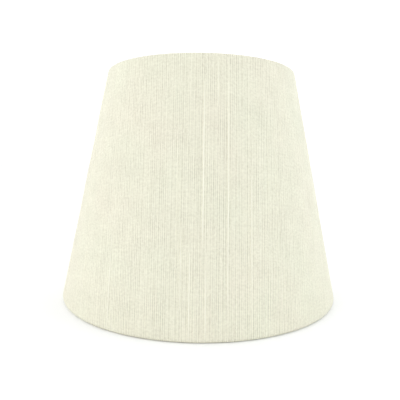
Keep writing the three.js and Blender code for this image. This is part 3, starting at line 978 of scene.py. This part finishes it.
# Powder coat over steel: a thick even white skin, semi-gloss, with an orange-peel of about 1 mm and a
# little dust caught in it.
powder_coat, tree = new_finish("white_powder_coat")
place, _, colour, gloss = mottled(tree, 160.0, 4.0, ("e9e7e0", "f4f3ee"), (0.28, 0.4))
peel = add(tree, "ShaderNodeTexNoise", {"Vector": place, "Scale": 900.0, "Detail": 1.0})
relief = add(tree, "ShaderNodeBump", {"Strength": 0.35, "Distance": 0.05 * MM, "Height": peel})
surface = add(
    tree,
    "ShaderNodeBsdfPrincipled",
    {"Base Color": colour, "Roughness": gloss, "IOR": 1.5, "Normal": relief},
)
add(tree, "ShaderNodeOutputMaterial", surface)

half_lug = LUG_WIDTH / 2
lug_line = rounded([(LUG_FOOT_END, LUG_FOOT), (LUG_FACE, LUG_FOOT), (LUG_FACE, PIVOT - half_lug)], BEND)
lug_length = line_length(lug_line)
lug_blank = [(0, -half_lug), (0, half_lug)]
lug_blank += [
    (lug_length - half_lug + half_lug * math.sin(math.pi * i / 18), half_lug * math.cos(math.pi * i / 18))
    for i in range(19)
]
for side, word in ((1, "right"), (-1, "left")):
    lug = pressed(
        f"hanger_lug_{word}",
        lug_blank[::-1],
        circle(lug_length - half_lug, PIVOT_HOLE),
        lug_line,
        STEEL,
        powder_coat,
        side,
    )
    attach(lug, "shade")
    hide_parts(f"pivot_lug_{word}")

points, polygons = [], []
for side in (1, -1):
    for height, seed in ((STEEL / 2 + 0.15 * MM, 1), (-STEEL / 2 - 0.15 * MM, 2)):
        run = [
            Vector((side * (LUG_FOOT_END + 0.3 * MM), wide, LUG_FOOT + height))
            for wide in (-0.42 * LUG_WIDTH, 0.42 * LUG_WIDTH)
        ]
        bead(points, polygons, run, LUG_WELD, seed + side)
lug_welds = piece("lug_welds", points, polygons, powder_coat)
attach(lug_welds, "shade")

# ---- The pivots ----
# A zinc-plated domed rivet through each lug and arm, set over a nylon washer that makes them turn
# stiffly. The setting punch has left a dimple in the inner head.

RIVET = 1.5 * MM
RIVET_HEAD = 3 * MM
HEAD_DOME = 1.2 * MM
RIVET_INNER = 58.5 * MM
RIVET_OUTER = 62.2 * MM
WASHER = (60.1 * MM, 60.6 * MM)
WASHER_RADIUS = 3.6 * MM


def turned_on_pivot(name, profile, material, side, count=32):
    """A piece turned about the pivot, from a closed profile of (x, radius), or one that ends on it."""
    points, polygons, starts = [], [], []
    for x, radius in profile:
        starts.append(len(points))
        if radius < 1e-7:
            points.append((side * x, 0, PIVOT))
            continue
        for i in range(count):
            turn = 2 * math.pi * i / count
            points.append((side * x, side * radius * math.cos(turn), PIVOT + radius * math.sin(turn)))
    pairs = list(zip(range(len(profile)), range(1, len(profile))))
    if profile[0][1] > 1e-7:
        pairs.append((len(profile) - 1, 0))
    for p, q in pairs:
        a, b = starts[p], starts[q]
        for i in range(count):
            k = (i + 1) % count
            if profile[p][1] < 1e-7:
                polygons.append((a, b + k, b + i))
            elif profile[q][1] < 1e-7:
                polygons.append((a + i, a + k, b))
            else:
                polygons.append((a + i, a + k, b + k, b + i))
    made = piece(name, points, polygons, material)
    shape = bmesh.new()
    shape.from_mesh(made.data)
    bmesh.ops.recalc_face_normals(shape, faces=shape.faces[:])
    shape.to_mesh(made.data)
    shape.free()
    made.data.set_sharp_from_angle(angle=math.radians(40))
    return made


# Zinc plate: bright, faintly blue, rubbed finely where the punch has turned.
zinc_plate, tree = new_finish("zinc_plated_rivet_steel")
_, _, colour, gloss = mottled(tree, 1800.0, 3.0, ("bcc0c3", "d9dbdc"), (0.2, 0.4))
surface = add(
    tree, "ShaderNodeBsdfPrincipled", {"Base Color": colour, "Metallic": 1.0, "Roughness": gloss}
)
add(tree, "ShaderNodeOutputMaterial", surface)

# Nylon 6: natural, waxy and slightly see-through.
nylon, tree = new_finish("natural_nylon_washer")
place = add(tree, "ShaderNodeTexCoord").outputs["Object"]
waxy = add(tree, "ShaderNodeTexNoise", {"Vector": place, "Scale": 600.0, "Detail": 2.0})
colour = add(
    tree, "ShaderNodeMix", {0: waxy, 6: linear("e2dfcf"), 7: linear("efede2")}, data_type="RGBA"
)
surface = add(
    tree,
    "ShaderNodeBsdfPrincipled",
    {
        "Base Color": colour.outputs[2],
        "Roughness": 0.42,
        "IOR": 1.53,
        "Subsurface Weight": 0.2,
        "Subsurface Scale": 0.5 * MM,
    },
)
add(tree, "ShaderNodeOutputMaterial", surface)

inner_head, outer_head = (
    [(face + dome * math.sin(t), RIVET_HEAD * math.cos(t)) for t in (0, 0.3, 0.6, 0.9, last)]
    for face, dome, last in ((RIVET_INNER, -HEAD_DOME, 1.15), (RIVET_OUTER, HEAD_DOME, 1.2))
)
dimple = [
    (RIVET_INNER - HEAD_DOME * 0.88, 0.9 * MM),
    (RIVET_INNER - HEAD_DOME * 0.6, 0.35 * MM),
    (RIVET_INNER - HEAD_DOME * 0.55, 0),
]
rivet_profile = [
    *dimple[::-1],
    *inner_head[::-1],
    (RIVET_INNER, RIVET),
    (RIVET_OUTER, RIVET),
    *outer_head,
    (RIVET_OUTER + HEAD_DOME, 0),
]
edge = 0.12 * MM
washer_profile = [
    (WASHER[0], PIVOT_HOLE),
    (WASHER[0], WASHER_RADIUS - edge),
    (WASHER[0] + edge, WASHER_RADIUS),
    (WASHER[1] - edge, WASHER_RADIUS),
    (WASHER[1], WASHER_RADIUS - edge),
    (WASHER[1], PIVOT_HOLE),
]
for side, word in ((1, "right"), (-1, "left")):
    rivet = turned_on_pivot(f"domed_rivet_{word}", rivet_profile, zinc_plate, side)
    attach(rivet, "shade")
    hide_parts(f"pivot_rivet_{word}")
    washer = turned_on_pivot(f"nylon_washer_{word}", washer_profile, nylon, side)
    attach(washer, "shade")
    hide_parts(f"friction_washer_{word}")

# ---- The gimbal arms ----
# Cranked strips of the same steel, with a rib pressed up their slope to stiffen them. Each one's foot is
# welded to the outside of the fitter ring at its two edges.

ARM_WIDTH = 8 * MM
ARM_TAB = 59.3 * MM
ARM_TAB_LENGTH = 5.5 * MM
FITTER_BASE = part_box("fitter_ring")[0].z
FITTER_RADIUS = 27 * MM
FITTER_BORE = 21 * MM
FITTER_LIP = 5 * MM
FITTER_CORNER = 1.8 * MM
ARM_FOOT = FITTER_RADIUS + 0.4 * MM + STEEL / 2
ARM_BEND = 2.5 * MM
ARM_WELD = 0.6 * MM
RIB_WIDTH = 4 * MM
RIB_HEIGHT = 0.9 * MM
RIB_START = 16 * MM
RIB_STOP = 11 * MM
RIB_RUN_OUT = 3 * MM

arm_line = rounded(
    [
        (ARM_TAB, PIVOT + ARM_WIDTH / 2),
        (ARM_TAB, PIVOT - ARM_TAB_LENGTH),
        (ARM_FOOT, FITTER_BASE + FITTER_LIP),
        (ARM_FOOT, FITTER_BASE + 0.2 * MM),
    ],
    ARM_BEND,
)
arm_length = line_length(arm_line)
half_arm = ARM_WIDTH / 2
arm_blank = [(arm_length, -half_arm), (arm_length, half_arm)]
arm_blank += [
    (half_arm - half_arm * math.sin(math.pi * i / 18), half_arm * math.cos(math.pi * i / 18))
    for i in range(19)
]


def arm_rib(along, wide):
    """The pressed rib: a rounded ridge that runs out at both ends of the slope."""
    run_out = min(along - RIB_START, arm_length - RIB_STOP - along) / RIB_RUN_OUT
    if run_out <= 0 or abs(wide) > RIB_WIDTH / 2:
        return 0
    return -RIB_HEIGHT * min(1, run_out) ** 0.5 * math.cos(wide / RIB_WIDTH * math.pi) ** 1.5


points, polygons = [], []
for side, word in ((1, "right"), (-1, "left")):
    arm = pressed(
        f"cranked_arm_{word}",
        arm_blank,
        circle(half_arm, PIVOT_HOLE),
        arm_line,
        STEEL,
        powder_coat,
        side,
        arm_rib,
    )
    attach(arm, "gimbal")
    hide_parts(f"gimbal_arm_{word}")
    for wide, seed in ((half_arm, 3), (-half_arm, 5)):
        foot = math.sqrt(FITTER_RADIUS**2 - wide**2)
        run = [
            Vector((side * (foot + 0.45 * MM), wide, FITTER_BASE + up))
            for up in (0.7 * MM, FITTER_LIP - 0.6 * MM)
        ]
        bead(points, polygons, run, ARM_WELD, seed + side)
arm_welds = piece("arm_welds", points, polygons, powder_coat)
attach(arm_welds, "gimbal")

# ---- The fitter ring ----
# A dished ring, blanked and drawn from the same sheet: a flat seat round a 42 mm bore, and a lip drawn
# up round it through a soft corner.


def drawn_ring(name, profile, material, count=128):
    """A ring turned about the shade's axis from a closed profile of (radius, height)."""
    points = [ring_point(r, z, 2 * math.pi * i / count) for i in range(count) for r, z in profile]
    polygons, size = [], len(profile)
    for i in range(count):
        a, b = i * size, (i + 1) % count * size
        for j in range(size):
            k = (j + 1) % size
            polygons.append((a + j, b + j, b + k, a + k))
    made = piece(name, points, polygons, material)
    made.data.set_sharp_from_angle(angle=math.radians(35))
    return made


def corner(centre, radius, start, end, steps=5):
    """An arc of a profile, its angles in degrees."""
    turns = [math.radians(start + (end - start) * i / steps) for i in range(steps + 1)]
    return [(centre[0] + radius * math.cos(t), centre[1] + radius * math.sin(t)) for t in turns]


z = FITTER_BASE
ease = 0.25 * MM
fitter_profile = [
    *corner((FITTER_BORE + ease, z + ease), ease, 180, 270, 3),
    *corner((FITTER_RADIUS - FITTER_CORNER, z + FITTER_CORNER), FITTER_CORNER, 270, 360, 8),
    *corner((FITTER_RADIUS - ease, z + FITTER_LIP - ease), ease, 0, 90, 3),
    *corner((FITTER_RADIUS - STEEL + ease, z + FITTER_LIP - ease), ease, 90, 180, 3),
    *corner((FITTER_RADIUS - FITTER_CORNER, z + FITTER_CORNER), FITTER_CORNER - STEEL, 0, -90, 6),
    *corner((FITTER_BORE + ease, z + STEEL - ease), ease, 90, 180, 3),
]
fitter = drawn_ring("dished_fitter_ring", fitter_profile, powder_coat)
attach(fitter, "gimbal")
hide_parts("fitter_ring")

# ---- The reducer ----
# A moulded ring of white polypropylene. Its flange, cored out between two lands, lies in the fitter's
# dish. Its skirt is slotted to spring in, and brings the bore down to a small lampholder's 29 mm.

SEAT = FITTER_BASE + 1.4 * MM
REDUCER_BORE = 14.5 * MM
SKIRT = 20.7 * MM
FLANGE = 23.5 * MM
FLANGE_THICK = 1.6 * MM
SKIRT_DEPTH = 4 * MM
LEAD_IN = (0.6 * MM, 0.9 * MM)
SLOTS = 6
SLOT_WIDTH = 2.4 * MM
SLOT_FLOOR = 19.5 * MM
LAND = 1.5 * MM
RECESS = 0.4 * MM
TURNING_MARKS = 0.35 * MM

# Injection-moulded polypropylene: white, even and softly glossy, with the mould's turning marks round
# its flat faces. The real marks are about 0.1 mm apart and are drawn coarser.
moulded, tree = new_finish("moulded_white_polypropylene")
place, cloudy, colour, gloss = mottled(tree, 220.0, 2.0, ("efeeea", "f7f7f4"), (0.3, 0.42))
apart = add(tree, "ShaderNodeSeparateXYZ", place)
height = add(tree, "ShaderNodeMath", apart.outputs[1], apart.outputs[1], operation="MULTIPLY")
height = add(
    tree, "ShaderNodeMath", apart.outputs[0], apart.outputs[0], height, operation="MULTIPLY_ADD"
)
height = add(tree, "ShaderNodeMath", height, operation="SQRT")
height = add(tree, "ShaderNodeMath", height, 2 * math.pi / TURNING_MARKS, operation="MULTIPLY")
height = add(tree, "ShaderNodeMath", height, operation="SINE")
height = add(tree, "ShaderNodeMath", height, 0.15, cloudy, operation="MULTIPLY_ADD")
relief = add(tree, "ShaderNodeBump", {"Strength": 0.2, "Distance": 0.03 * MM, "Height": height})
surface = add(
    tree,
    "ShaderNodeBsdfPrincipled",
    {
        "Base Color": colour,
        "Roughness": gloss,
        "IOR": 1.49,
        "Subsurface Weight": 0.15,
        "Subsurface Scale": 0.8 * MM,
        "Normal": relief,
    },
)
add(tree, "ShaderNodeOutputMaterial", surface)


def reducer_profile(skirt):
    """The reducer's section, with its skirt at this radius."""
    foot, top = SEAT - SKIRT_DEPTH, SEAT + FLANGE_THICK
    ease = 0.25 * MM
    return [
        *corner((REDUCER_BORE + ease, foot + ease), ease, 180, 270, 3),
        (skirt - LEAD_IN[0], foot),
        (skirt - 0.05 * MM, foot + LEAD_IN[1]),
        (skirt, SEAT - 0.3 * MM),
        (max(skirt, SKIRT - 0.3 * MM), SEAT),
        *corner((FLANGE - ease, SEAT + ease), ease, 270, 360, 3),
        *corner((FLANGE - ease, top - ease), ease, 0, 90, 3),
        (FLANGE - LAND, top),
        (FLANGE - LAND - ease, top - RECESS),
        (REDUCER_BORE + LAND + ease, top - RECESS),
        (REDUCER_BORE + LAND, top),
        *corner((REDUCER_BORE + ease, top - ease), ease, 90, 180, 3),
    ]


edges_of_slot = SLOT_WIDTH / 2 / SKIRT
stations = []
for i in range(SLOTS):
    middle = math.pi / 2 + 2 * math.pi * i / SLOTS
    stations += [(middle - edges_of_slot - 0.004, SKIRT), (middle - edges_of_slot, SLOT_FLOOR)]
    stations += [(middle + edges_of_slot * k / 3, SLOT_FLOOR) for k in (-1, 1)]
    stations += [(middle + edges_of_slot, SLOT_FLOOR), (middle + edges_of_slot + 0.004, SKIRT)]
    stations += [(middle + 2 * math.pi / SLOTS * k / 18, SKIRT) for k in range(2, 17)]
points, polygons = [], []
size = len(reducer_profile(SKIRT))
for azimuth, skirt in stations:
    points += [ring_point(r, z, azimuth) for r, z in reducer_profile(skirt)]
for i in range(len(stations)):
    a, b = i * size, (i + 1) % len(stations) * size
    for j in range(size):
        k = (j + 1) % size
        polygons.append((a + j, b + j, b + k, a + k))
reducer = piece("snap_in_reducer", points, polygons, moulded)
reducer.data.set_sharp_from_angle(angle=math.radians(35))
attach(reducer, "reducer")
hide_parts("reducer_ring")
